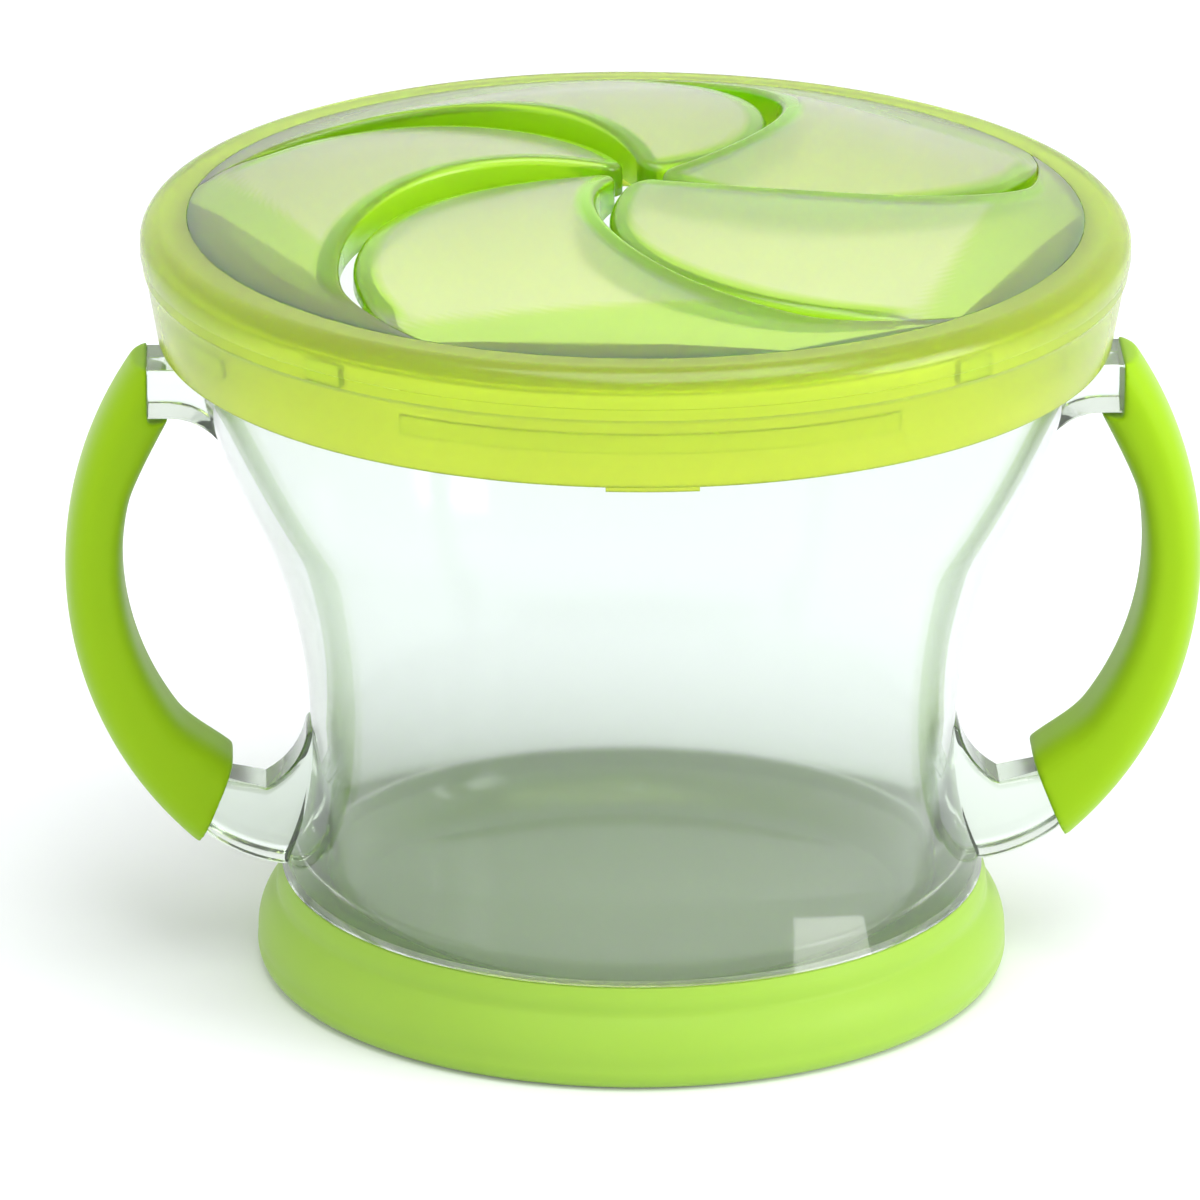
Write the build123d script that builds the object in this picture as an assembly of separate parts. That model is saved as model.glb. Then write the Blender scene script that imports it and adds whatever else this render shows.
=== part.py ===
from build123d import *
import math
import os

# Toddler snack container: a clear two-handled cup on a soft foot, with soft grips and a lid that snaps on,
# whose five swirled soft flaps let a small hand in and keep the snacks inside.
# Millimetres. +Z up, origin at the middle of the foot's underside, handles along X, pull tab at -Y.

os.makedirs("parts", exist_ok=True)

# ---- driving sizes ----------------------------------------------------------------------------
# cup body
RIM_RADIUS = 46.8           # bead round the rim
RIM_BEAD = 0.5              # bead past the wall below it
RIM_Z = 77.3                # top of the cup's rim
RIM_BAND = 4.1              # from the bead's lower edge to the rim's top
RIM_ROUND = 0.8
FLARE_RADIUS = 39.2         # outer radius and height where the wall leans out most
FLARE_Z = 50.0
WAIST_RADIUS = 33.0         # narrowest outer radius and its height
WAIST_Z = 24.0
BASE_RADIUS = 36.0          # cup just above the foot
CUP_WALL = 1.8              # wall from the waist up
CUP_LOW_WALL = 2.8          # wall just above the floor
CUP_FLOOR = 2.0             # thickness of the floor
CUP_CORNER = 5.6            # inner rounding where the wall meets the floor

# soft foot
FOOT_RECESS = 0.8           # hollow inside the resting ring
FOOT_PAD = 2.2              # soft layer under the cup
FOOT_SHELL = 1.6            # soft layer round the cup's bottom edge
FOOT_CORNER = 5.0           # slope of the cup's bottom edge under it
FOOT_LIP_Z = 10.4           # top of the foot's lip
FOOT_LIP_HEIGHT = 2.9       # lip above its crease
FOOT_CREASE = 0.6           # crease past the cup's wall
FOOT_BULGE = 2.5            # widest part past the cup's wall, and its height
FOOT_BULGE_Z = 4.4
FOOT_UNDERCUT = 1.1         # resting ring in from the widest part
FOOT_REST = 6.4             # width of the resting ring

# lid ring
LID_GAP = 0.3               # ring over and inside the cup's rim
LID_ROOF = 2.4              # ring above the cup's rim
LID_STEP = 0.5              # shoulder past the skirt below it
SHOULDER_ROUND = 2.4        # shoulder's rounding, inwards and down
SHOULDER_DROP = 2.1
SHOULDER_BAND = 1.6         # upright part of the shoulder
SHOULDER_STEP = 1.6         # small undercut under it
SKIRT_DEPTH = 12.4          # flat rim to the skirt's lower edge
SKIRT_WALL = 1.1
SKIRT_GAP = 0.35            # skirt's lower edge past the cup's rim bead
SKIRT_DRAFT = 1.25          # skirt wider at its top than at its lower edge
PLUG_WALL = 0.4             # short inner wall down into the cup's mouth, and how deep it goes
PLUG_DEPTH = 1.2
SEAT_WIDTH = 1.0            # the soft border's seat, and its depth below the flat rim
SEAT_DROP = 1.2
SNAP_GAP = 0.45             # snap beads past the cup's rim bead
BEAD_BELOW = 1.0            # beads below the cup's rim bead
BEAD_HEIGHT = 1.6
BEAD_HALF_ANGLE = 30.5
LUG_ANGLE = 40.6            # short ribs beside the beads
LUG_HALF_ANGLE = 2.4
TAB_WIDTH = 8.5             # pull tab under the skirt
TAB_DROP = 0.45

# handles, in the plane of X and Z
HANDLE_OUT = 7.94           # handle's outermost point past the lid's shoulder
ARM_BELOW = 2.6             # upper arm below the skirt
ARM_DEPTH = 5.2
ARM_TOP_WIDTH = 8.4
ARM_FILLET = 4.0            # under the upper arm, into the cup's wall
LOW_ARM_GAP = 0.7           # lower arm above the foot's lip
LOW_ARM_DEPTH = 8.3
LOW_ARM_WIDTH = 6.4
GUSSET_RISE = 8.2           # web on the lower arm, up and out from the cup's wall
GUSSET_OUT = 4.6
GRIP_LOW_Z = 13.0           # lowest corner of the grip
GRIP_PROUD = 0.2            # grip's top above the upper arm
GRIP_THICK = 5.9            # through the grip at its outermost point
GRIP_BULGE = 0.57           # that point's place between the grip's low and top corners
GRIP_SET_BACK = 13.32       # grip's low corner in from it
GRIP_IN_RISE = 1.16         # inner arc's outermost point above the outer arc's
GRIP_IN_LOW = 8.9           # inner arc's low end above the grip's low corner
GRIP_IN_SET_BACK = 10.0     # and in from its own outermost point
GRIP_END_IN = 0.6           # grip's upright end in from the lid's shoulder
GRIP_LIP = 4.0              # pointed lip below the upper arm
GRIP_WIDTH = 10.6           # across the handle
GRIP_ROUND = 2.7            # rounding of the grip's long edges
GRIP_SKIN = 1.5             # soft layer over the clear bar

# soft flaps and their border
FLAPS = 5
SLOT_START = 19.0           # direction of the first slot's outer end
SLOT_END_GAP = 0.3          # slots' outer ends in from the ring's bore
SLOT_LEAN = 70.0            # angle between a slot's arc and the radius at its ends
SLOT_GAP = 1.4
TIP_ROUND = 2.1
FLAP_PEAK = 6.0             # crown above the flat rim
FLAP_PEAK_IN = 21.2         # crown's top in from the bending line, and across from the flap's middle
FLAP_PEAK_T = 4.1
CROWN_FALL = 3.0            # fall of the crown towards the slot's end
MEMBRANE = 1.0
EDGE_WALL = 2.0             # turned-down edge
EDGE_ROUND = 0.9
WALL_BOTTOM_MIDDLE = 1.2    # lower ends of the turned-down edges, above and below the flat rim
WALL_BOTTOM_END = -0.6
WEB_RISE = 2.6              # soft border's height at the bending lines
WEB_THICK = 1.2
HINGE_GAP = 0.3
HINGE_INSET = 4.0           # bending line's start in from the slot's end
HINGE_SIDE = 0.9            # and its other end past the next slot
FOLD_IN = 65.0              # degrees that a flap is pushed in
FOLD_OUT = 25.0             # degrees that it is drawn out
END_TAB = 1.7               # small square stop beside each slot's end

# ---- sizes that follow ------------------------------------------------------------------------

NECK_RADIUS = RIM_RADIUS - RIM_BEAD
NECK_Z = RIM_Z - RIM_BAND
CUP_BOTTOM_Z = FOOT_RECESS + FOOT_PAD
FOOT_RADIUS = BASE_RADIUS + FOOT_BULGE
FOOT_REST_OUT = FOOT_RADIUS - FOOT_UNDERCUT
FOOT_REST_IN = FOOT_REST_OUT - FOOT_REST

CEILING_Z = RIM_Z + LID_GAP
LID_TOP_Z = CEILING_Z + LID_ROOF
SHOULDER_Z = LID_TOP_Z - SHOULDER_DROP
BAND_Z = SHOULDER_Z - SHOULDER_BAND
STEP_Z = BAND_Z - SHOULDER_STEP
SKIRT_Z = LID_TOP_Z - SKIRT_DEPTH
SKIRT_RADIUS = RIM_RADIUS + SKIRT_GAP + SKIRT_WALL
SKIRT_STEP_RADIUS = SKIRT_RADIUS + SKIRT_DRAFT
LID_RADIUS = SKIRT_STEP_RADIUS + LID_STEP
RIM_EDGE_RADIUS = LID_RADIUS - SHOULDER_ROUND
PLUG_RADIUS = RIM_RADIUS - CUP_WALL - LID_GAP
SEAT_RADIUS = PLUG_RADIUS - PLUG_WALL
PANEL_RADIUS = SEAT_RADIUS + SEAT_WIDTH
BEAD_RADIUS = RIM_RADIUS + SNAP_GAP
BEAD_Z = NECK_Z - BEAD_BELOW

ARM_TOP_Z = SKIRT_Z - ARM_BELOW
ARM_UNDER_Z = ARM_TOP_Z - ARM_DEPTH
LOW_ARM_Z = FOOT_LIP_Z + LOW_ARM_GAP
LOW_ARM_TOP_Z = LOW_ARM_Z + LOW_ARM_DEPTH
GRIP_TOP_Z = ARM_TOP_Z + GRIP_PROUD
GRIP_END_X = LID_RADIUS - GRIP_END_IN
GRIP_REACH = LID_RADIUS + HANDLE_OUT
GRIP_OUT_Z = GRIP_LOW_Z + GRIP_BULGE * (GRIP_TOP_Z - GRIP_LOW_Z)
GRIP_OUT_RADIUS = ((GRIP_OUT_Z - GRIP_LOW_Z) ** 2 + GRIP_SET_BACK ** 2) / (2 * GRIP_SET_BACK)
GRIP_OUT_X = GRIP_REACH - GRIP_OUT_RADIUS
GRIP_IN_Z = GRIP_OUT_Z + GRIP_IN_RISE
GRIP_IN_LOW_Z = GRIP_LOW_Z + GRIP_IN_LOW
GRIP_IN_RADIUS = ((GRIP_IN_Z - GRIP_IN_LOW_Z) ** 2 + GRIP_IN_SET_BACK ** 2) / (2 * GRIP_IN_SET_BACK)
GRIP_IN_X = GRIP_REACH - GRIP_THICK - GRIP_IN_RADIUS

STEP = 360.0 / FLAPS
HALF_GAP = SLOT_GAP / 2
SLOT_RADIUS = SEAT_RADIUS - SLOT_END_GAP
ARC = SLOT_RADIUS / (2 * math.sin(math.radians(SLOT_LEAN)))
HINGE_N = SLOT_RADIUS * math.cos(math.radians(STEP / 2))
HINGE_T0 = -SLOT_RADIUS * math.sin(math.radians(STEP / 2))
HINGE_T1 = HINGE_N * math.tan(math.radians(90 - SLOT_LEAN))
HINGE_LOW = WEB_RISE - CROWN_FALL + 0.3 * MEMBRANE
HINGE_HIGH = WEB_RISE - MEMBRANE
FLAP_PEAK_N = HINGE_N - FLAP_PEAK_IN
CROWN_ALONG = FLAP_PEAK_IN ** 2 / (2 * (FLAP_PEAK - WEB_RISE))
CROWN_ACROSS = (FLAP_PEAK_T - HINGE_T0) ** 2 / (2 * CROWN_FALL)
BEYOND = 3.0                # working length past the bending line, trimmed away

# ---- cup --------------------------------------------------------------------------------------


def wall_lean():
    """Lean of the wall from upright at the flare and at the neck, in radians, along two joined arcs."""
    rise = FLARE_Z - WAIST_Z
    out = FLARE_RADIUS - WAIST_RADIUS
    radius = (rise ** 2 + out ** 2) / (2 * out)
    flare = math.asin(rise / radius)
    chord = math.atan2(NECK_RADIUS - FLARE_RADIUS, NECK_Z - FLARE_Z)
    return flare, 2 * chord - flare


def cup_outer():
    """Outer half profile of the cup's body, from the middle of its underside to the rim."""
    recess = BASE_RADIUS - FOOT_SHELL
    flare, neck = wall_lean()
    waist = (WAIST_RADIUS, WAIST_Z)
    widest = (FLARE_RADIUS, FLARE_Z)
    top = (NECK_RADIUS, NECK_Z)
    edges = Polyline(
        (0, CUP_BOTTOM_Z),
        (recess - FOOT_CORNER, CUP_BOTTOM_Z),
        (recess, CUP_BOTTOM_Z + FOOT_CORNER),
        (recess, FOOT_LIP_Z),
        (BASE_RADIUS, FOOT_LIP_Z),
    ).edges()
    edges += TangentArc(waist, (BASE_RADIUS, FOOT_LIP_Z), tangent=(0, -1)).edges()
    edges += TangentArc(waist, widest, tangent=(0, 1)).edges()
    edges += TangentArc(widest, top, tangent=(math.sin(flare), math.cos(flare))).edges()
    edges += Polyline(
        top,
        (RIM_RADIUS, NECK_Z + 2 * RIM_BEAD),
        (RIM_RADIUS, RIM_Z),
        (0, RIM_Z),
        (0, CUP_BOTTOM_Z),
    ).edges()
    return make_face(edges)


def cup_inner():
    """Inner half profile: flat floor, rounded corner, the wall's inner line and the open mouth."""
    flare, neck = wall_lean()
    floor_z = CUP_BOTTOM_Z + CUP_FLOOR
    waist = (WAIST_RADIUS - CUP_WALL, WAIST_Z)
    widest = (FLARE_RADIUS - CUP_WALL * math.cos(flare), FLARE_Z + CUP_WALL * math.sin(flare))
    top = (NECK_RADIUS - CUP_WALL * math.cos(neck), NECK_Z + CUP_WALL * math.sin(neck))
    low_x = BASE_RADIUS + 0.6 - FOOT_SHELL - CUP_LOW_WALL
    low_z = floor_z + CUP_CORNER + 1.0
    spread = 2 * math.atan2(low_x - waist[0], waist[1] - low_z)
    turn_x = low_x - CUP_CORNER * math.cos(spread)
    low = (low_x, floor_z + CUP_CORNER + CUP_CORNER * math.sin(spread))
    edges = Line((0, floor_z), (turn_x, floor_z)).edges()
    edges += TangentArc((turn_x, floor_z), low, tangent=(1, 0)).edges()
    edges += TangentArc(waist, low, tangent=(0, -1)).edges()
    edges += TangentArc(waist, widest, tangent=(0, 1)).edges()
    edges += TangentArc(widest, top, tangent=(math.sin(flare), math.cos(flare))).edges()
    edges += Polyline(
        top,
        (RIM_RADIUS - CUP_WALL, RIM_Z),
        (RIM_RADIUS - CUP_WALL, RIM_Z + 5),
        (0, RIM_Z + 5),
        (0, floor_z),
    ).edges()
    return make_face(edges)


def spun(profile):
    """A half profile drawn in X and Z, turned round the container's axis."""
    return revolve(Plane.XZ * profile, Axis.Z, 360)


def across(profile, width):
    """A profile drawn in X and Z, made solid evenly to both sides of that plane."""
    return extrude(Plane.XZ * profile, width / 2, both=True)


def on_arc(cx, cz, radius, z):
    """The point at height z on a handle's arc."""
    return (cx + math.sqrt(radius ** 2 - (z - cz) ** 2), z)


def wall_radius(z):
    """Outer radius of the cup's wall at a height above the flare."""
    flare, neck = wall_lean()
    chord = math.hypot(NECK_RADIUS - FLARE_RADIUS, NECK_Z - FLARE_Z)
    radius = chord / (2 * math.sin((flare - neck) / 2))
    cx = FLARE_RADIUS - radius * math.cos(flare)
    cz = FLARE_Z + radius * math.sin(flare)
    return cx + math.copysign(math.sqrt(radius ** 2 - (z - cz) ** 2), radius)


def handle_bar():
    """Clear bar inside the right grip, with its two arms running into the cup's wall."""
    outer = GRIP_OUT_RADIUS - GRIP_SKIN
    inner = GRIP_IN_RADIUS + GRIP_SKIN
    p_top = on_arc(GRIP_OUT_X, GRIP_OUT_Z, outer, ARM_TOP_Z - GRIP_SKIN)
    p_mid = on_arc(GRIP_OUT_X, GRIP_OUT_Z, outer, GRIP_OUT_Z)
    p_low = on_arc(GRIP_OUT_X, GRIP_OUT_Z, outer, GRIP_LOW_Z + GRIP_SKIN + 1.0)
    q_top = on_arc(GRIP_IN_X, GRIP_IN_Z, inner, ARM_UNDER_Z)
    q_mid = on_arc(GRIP_IN_X, GRIP_IN_Z, inner, GRIP_IN_Z)
    q_low = on_arc(GRIP_IN_X, GRIP_IN_Z, inner, GRIP_IN_LOW_Z - 1.3)
    bar_face = make_face(
        ThreePointArc(p_low, p_mid, p_top).edges()
        + Line(p_top, q_top).edges()
        + ThreePointArc(q_top, q_mid, q_low).edges()
        + Line(q_low, p_low).edges()
    )
    bar = across(bar_face, GRIP_WIDTH - 2 * GRIP_SKIN)
    wall_x = wall_radius(ARM_UNDER_Z) - 1.0
    arm_top_x = wall_radius(ARM_TOP_Z) - CUP_WALL - 0.6
    fillet_start = (wall_x + ARM_FILLET, ARM_UNDER_Z)
    fillet_end = (wall_x - 0.6, ARM_UNDER_Z - 3.0)
    upper_face = make_face(
        Polyline((arm_top_x, ARM_TOP_Z), (p_top[0] - 1.2, ARM_TOP_Z), p_top, q_top, fillet_start).edges()
        + TangentArc(fillet_start, fillet_end, tangent=(-1, 0)).edges()
        + Line(fillet_end, (arm_top_x, ARM_TOP_Z)).edges()
    )
    upper = across(upper_face, ARM_TOP_WIDTH)
    upper_edges = upper.edges().filter_by(Axis.X).group_by(Axis.Z)[-1]
    upper = fillet(upper_edges, 1.2)
    root = min(WAIST_RADIUS, BASE_RADIUS) - CUP_WALL / 2
    gusset_top = (WAIST_RADIUS, LOW_ARM_TOP_Z + GUSSET_RISE)
    gusset_end = (WAIST_RADIUS + GUSSET_OUT, LOW_ARM_TOP_Z)
    foot_side = (BASE_RADIUS - 0.2, LOW_ARM_Z)
    lower_face = make_face(
        Polyline(foot_side, (root, LOW_ARM_Z), (root, gusset_top[1]), gusset_top).edges()
        + TangentArc(gusset_top, gusset_end, tangent=(0.08, -1)).edges()
        + Polyline(gusset_end, (q_low[0] - 1.0, LOW_ARM_TOP_Z + 0.5), q_low, p_low).edges()
        + TangentArc(foot_side, p_low, tangent=(1, -0.2)).edges()
    )
    lower = across(lower_face, LOW_ARM_WIDTH)
    return bar + upper + lower


def grip_solid():
    """Soft grip before the bar is taken out of it: a curved pad with a pointed lip at the top."""
    top = on_arc(GRIP_OUT_X, GRIP_OUT_Z, GRIP_OUT_RADIUS, GRIP_TOP_Z)
    mid = on_arc(GRIP_OUT_X, GRIP_OUT_Z, GRIP_OUT_RADIUS, GRIP_OUT_Z)
    low = on_arc(GRIP_OUT_X, GRIP_OUT_Z, GRIP_OUT_RADIUS, GRIP_LOW_Z)
    in_low = on_arc(GRIP_IN_X, GRIP_IN_Z, GRIP_IN_RADIUS, GRIP_IN_LOW_Z)
    in_mid = on_arc(GRIP_IN_X, GRIP_IN_Z, GRIP_IN_RADIUS, GRIP_IN_Z)
    in_top = on_arc(GRIP_IN_X, GRIP_IN_Z, GRIP_IN_RADIUS, ARM_UNDER_Z - GRIP_LIP)
    tip = (GRIP_END_X - 2.0, ARM_UNDER_Z - 0.3)
    lip_side = (GRIP_END_X - 0.75, ARM_UNDER_Z - 0.55 * GRIP_LIP)
    low_corner = (low[0] - 1.0, low[1] - 0.3)
    in_corner = (in_low[0] - 1.25, in_low[1] - 1.7)
    end_side = ((low_corner[0] + in_corner[0]) / 2 - 0.8, (low_corner[1] + in_corner[1]) / 2 + 0.4)
    outline = (
        Line((GRIP_END_X, GRIP_TOP_Z), top).edges()
        + ThreePointArc(top, mid, low).edges()
        + Polyline(low, low_corner, end_side, in_corner, (in_low[0] - 1.0, in_low[1] - 0.5), in_low).edges()
        + ThreePointArc(in_low, in_mid, in_top).edges()
        + ThreePointArc(in_top, lip_side, tip).edges()
        + Polyline(tip, (GRIP_END_X, ARM_UNDER_Z), (GRIP_END_X, GRIP_TOP_Z)).edges()
    )
    return across(make_face(outline), GRIP_WIDTH)


# The handles are moulded in one with the cup, and are parted from it here at its wall.
cup_body = spun(cup_outer())
handle_right = handle_bar() - cup_body
handle_left = mirror(handle_right, Plane.YZ)
cup = cup_body - spun(cup_inner())
rim_edges = cup.edges().filter_by(GeomType.CIRCLE).group_by(Axis.Z)[-1]
cup = fillet(rim_edges, min(RIM_ROUND, 0.45 * CUP_WALL))

# ---- soft grips -------------------------------------------------------------------------------

grip = grip_solid()
long_edges = [e for e in grip.edges().filter_by(GeomType.CIRCLE) if e.radius > 20]
grip = fillet(long_edges, min(GRIP_ROUND, 0.46 * GRIP_THICK))
grip_right = grip - handle_right
grip_left = mirror(grip_right, Plane.YZ)

# ---- soft foot --------------------------------------------------------------------------------

foot_crease = (BASE_RADIUS + FOOT_CREASE, FOOT_LIP_Z - FOOT_LIP_HEIGHT)
foot_face = make_face(
    Polyline(
        (0, FOOT_RECESS),
        (FOOT_REST_IN - FOOT_RECESS, FOOT_RECESS),
        (FOOT_REST_IN, 0),
        (FOOT_REST_OUT, 0),
    ).edges()
    + ThreePointArc((FOOT_REST_OUT, 0), (FOOT_RADIUS, FOOT_BULGE_Z), foot_crease).edges()
    + Polyline(
        foot_crease,
        (BASE_RADIUS + 0.1, FOOT_LIP_Z - 0.5),
        (BASE_RADIUS - 0.3, FOOT_LIP_Z),
        (BASE_RADIUS - FOOT_SHELL, FOOT_LIP_Z),
        (BASE_RADIUS - FOOT_SHELL, CUP_BOTTOM_Z + FOOT_CORNER),
        (BASE_RADIUS - FOOT_SHELL - FOOT_CORNER, CUP_BOTTOM_Z),
        (0, CUP_BOTTOM_Z),
        (0, FOOT_RECESS),
    ).edges()
)
base_foot = spun(foot_face)

# ---- lid ring ---------------------------------------------------------------------------------

skirt_low_in = SKIRT_RADIUS - SKIRT_WALL
skirt_top_in = SKIRT_STEP_RADIUS - SKIRT_WALL - 0.2
ring_face = make_face(
    Polyline((PANEL_RADIUS, LID_TOP_Z), (RIM_EDGE_RADIUS, LID_TOP_Z)).edges()
    + TangentArc((RIM_EDGE_RADIUS, LID_TOP_Z), (LID_RADIUS, SHOULDER_Z), tangent=(1, 0)).edges()
    + Polyline(
        (LID_RADIUS, SHOULDER_Z),
        (LID_RADIUS, BAND_Z),
        (LID_RADIUS - 0.2, STEP_Z + 0.4),
        (SKIRT_STEP_RADIUS + 0.1, STEP_Z),
        (SKIRT_STEP_RADIUS, STEP_Z - 0.2),
        (SKIRT_RADIUS + 0.1, SKIRT_Z + 0.5),
        (SKIRT_RADIUS - 0.4, SKIRT_Z),
        (skirt_low_in + 0.3, SKIRT_Z),
        (skirt_low_in, SKIRT_Z + 0.3),
        (skirt_top_in, STEP_Z),
        (skirt_top_in, CEILING_Z - 0.6),
        (skirt_top_in - 0.6, CEILING_Z),
        (PLUG_RADIUS, CEILING_Z),
        (PLUG_RADIUS, CEILING_Z - PLUG_DEPTH),
        (SEAT_RADIUS, CEILING_Z - PLUG_DEPTH - 0.2),
        (SEAT_RADIUS, LID_TOP_Z - SEAT_DROP),
        (PANEL_RADIUS, LID_TOP_Z - SEAT_DROP),
        (PANEL_RADIUS, LID_TOP_Z),
    ).edges()
)
lid_ring = spun(ring_face)


def sector(inner, outer, low, high, middle, half):
    """A block of a ring between two radii and two heights, half degrees to each side of middle."""
    block = Polyline((inner, low), (outer, low), (outer, high), (inner, high), (inner, low))
    solid = revolve(Plane.XZ * make_face(block.edges()), Axis.Z, 2 * half)
    return Rot(0, 0, middle - half) * solid


def skirt_inner(z):
    """Inner radius of the skirt at height z."""
    return skirt_low_in + (skirt_top_in - skirt_low_in) * (z - SKIRT_Z) / (STEP_Z - SKIRT_Z)


bead_low = BEAD_Z - BEAD_HEIGHT / 2
bead_high = BEAD_Z + BEAD_HEIGHT / 2
bead_out = skirt_inner(BEAD_Z) + 0.45 * SKIRT_WALL
for quarter in range(4):
    direction = -90 + 90 * quarter
    bead_block = Polyline(
        (bead_out, bead_low - 0.4),
        (BEAD_RADIUS, bead_low + 0.3),
        (BEAD_RADIUS, bead_high - 0.3),
        (bead_out, bead_high + 0.4),
        (bead_out, bead_low - 0.4),
    )
    bead = revolve(Plane.XZ * make_face(bead_block.edges()), Axis.Z, 2 * BEAD_HALF_ANGLE)
    lid_ring += Rot(0, 0, direction - BEAD_HALF_ANGLE) * bead
lug_out = LID_RADIUS - LID_STEP - 0.6 * SKIRT_WALL
for lug_direction in (-90 - LUG_ANGLE, -90 + LUG_ANGLE, 90 - LUG_ANGLE, 90 + LUG_ANGLE):
    lid_ring += sector(
        BEAD_RADIUS, lug_out, STEP_Z + 0.2, CEILING_Z + 0.4, lug_direction, LUG_HALF_ANGLE
    )
tab_half = math.degrees(TAB_WIDTH / 2 / SKIRT_RADIUS)
lid_ring += sector(skirt_low_in + 0.1, SKIRT_RADIUS - 0.1, SKIRT_Z - TAB_DROP, SKIRT_Z + 1, -90, tab_half)

# ---- soft border and flaps --------------------------------------------------------------------
# A flap is drawn in its own frame: X out across the middle of its bending line, Y along that line
# anticlockwise. Slot arcs are circles through the lid's middle and each slot's outer end.


def slot_circle(order, grow):
    """Disc bounded by the flap's own slot (order 0) or by the next one (order 1)."""
    turn = math.radians(-STEP / 2 + STEP * order + 90 - SLOT_LEAN)
    return Pos(ARC * math.cos(turn), ARC * math.sin(turn)) * Circle(ARC + grow)


def petal(inset, reach):
    """Plan of a flap, drawn in from its slots by inset, as far out as reach."""
    turn = math.radians(-STEP / 2 + 90 - SLOT_LEAN)
    far = HINGE_N + BEYOND
    side = HINGE_T1 + HINGE_SIDE - inset
    fan = Polyline(
        (ARC * math.cos(turn), ARC * math.sin(turn)),
        (far, HINGE_T0 + HINGE_INSET + inset),
        (far, side),
        (HINGE_N - 2 * BEYOND, side),
        (ARC * math.cos(turn), ARC * math.sin(turn)),
    )
    plan = slot_circle(0, -HALF_GAP - inset) + make_face(fan.edges()) - slot_circle(1, HALF_GAP + inset)
    plan = plan & (Pos(reach - 3 * ARC, 0) * Rectangle(6 * ARC, 6 * ARC))
    faces = sorted(plan.faces(), key=lambda f: -f.area)
    plan = Sketch() + faces[0]
    tip = plan.vertices().sort_by_distance((0, 0, 0))[0]
    return fillet(tip, TIP_ROUND - min(inset, 1.0))


def crown(drop):
    """Everything under the flap's crowned upper face, lowered by drop."""
    top = LID_TOP_Z + FLAP_PEAK - drop
    rad = CROWN_ALONG - drop
    span = FLAP_PEAK_IN + 3 * BEYOND

    def height(x):
        return top - rad + math.sqrt(rad ** 2 - (x - FLAP_PEAK_N) ** 2)

    x0 = FLAP_PEAK_N - span
    x1 = FLAP_PEAK_N + span
    face = make_face(
        ThreePointArc((x0, height(x0)), (FLAP_PEAK_N, top), (x1, height(x1))).edges()
        + Polyline((x1, height(x1)), (x1, 30), (x0, 30), (x0, height(x0))).edges()
    )
    middle = LID_TOP_Z + FLAP_PEAK - CROWN_ACROSS
    half = 24.0
    solid = revolve(Plane.XZ * face, Axis((0, 0, middle), (1, 0, 0)), 2 * half)
    back = Pos(0, 0, middle) * Rot(-half, 0, 0) * Pos(0, 0, -middle)
    return Pos(0, FLAP_PEAK_T, 0) * back * solid


def under_walls():
    """Everything below the lower ends of the turned-down edges: a shallow dome over the cup."""
    mid = LID_TOP_Z + WALL_BOTTOM_MIDDLE
    fall = WALL_BOTTOM_MIDDLE - WALL_BOTTOM_END
    rad = (SLOT_RADIUS ** 2 + fall ** 2) / (2 * fall)
    edge = 1.36 * SLOT_RADIUS
    low = mid - rad + math.sqrt(rad ** 2 - edge ** 2)
    quarter = mid - rad + math.sqrt(rad ** 2 - edge ** 2 / 4)
    face = make_face(
        ThreePointArc((0, mid), (edge / 2, quarter), (edge, low)).edges()
        + Polyline((edge, low), (edge, 40), (0, 40), (0, mid)).edges()
    )
    return spun(face)


def hinge_frame():
    """The bending line's middle, and its direction from the slot's end to its other end."""
    low = Vector(HINGE_N, HINGE_T0, LID_TOP_Z + HINGE_LOW)
    high = Vector(HINGE_N, HINGE_T1, LID_TOP_Z + HINGE_HIGH)
    return low + (high - low) * 0.5, (high - low).normalized()


def hinge_trim():
    """What a flap gives up at its bending line, so that it turns in and out past the border."""
    middle, along = hinge_frame()
    deep = FLAP_PEAK - 1.0
    lean_out = math.tan(math.radians(FOLD_OUT))
    lean_in = math.tan(math.radians(FOLD_IN))
    wedge = Polyline(
        (-HINGE_GAP, 0),
        (-HINGE_GAP - deep * lean_out, deep),
        (BEYOND + 4, deep),
        (BEYOND + 4, -deep),
        (-HINGE_GAP - deep * lean_in, -deep),
        (-HINGE_GAP, 0),
    )
    plane = Plane(origin=middle, x_dir=(1, 0, 0), z_dir=(-along.X, -along.Y, -along.Z))
    return extrude(plane * make_face(wedge.edges()), SLOT_RADIUS, both=True)


def upright(sketch, low, high):
    """A plan made solid between two heights."""
    return extrude(Pos(0, 0, low) * sketch, high - low)


def flap_solid():
    """One flap: a thin crowned membrane whose edges round over and turn down at both slots."""
    low = LID_TOP_Z - 10
    high = LID_TOP_Z + FLAP_PEAK + 9
    block = upright(petal(0.0, HINGE_N + BEYOND), low, high) & crown(0.0)
    top_face = block.faces().sort_by(Axis.Z)[-1]
    rims = [e for e in top_face.edges() if (e @ 0.5).X < HINGE_N - 1.0]
    block = fillet(rims, EDGE_ROUND)
    hollow = upright(petal(EDGE_WALL, HINGE_N - 1.6), low - 1, high) & crown(MEMBRANE)
    block = block - hollow - under_walls() - hinge_trim()
    return max(block.solids(), key=lambda s: s.volume)


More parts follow.
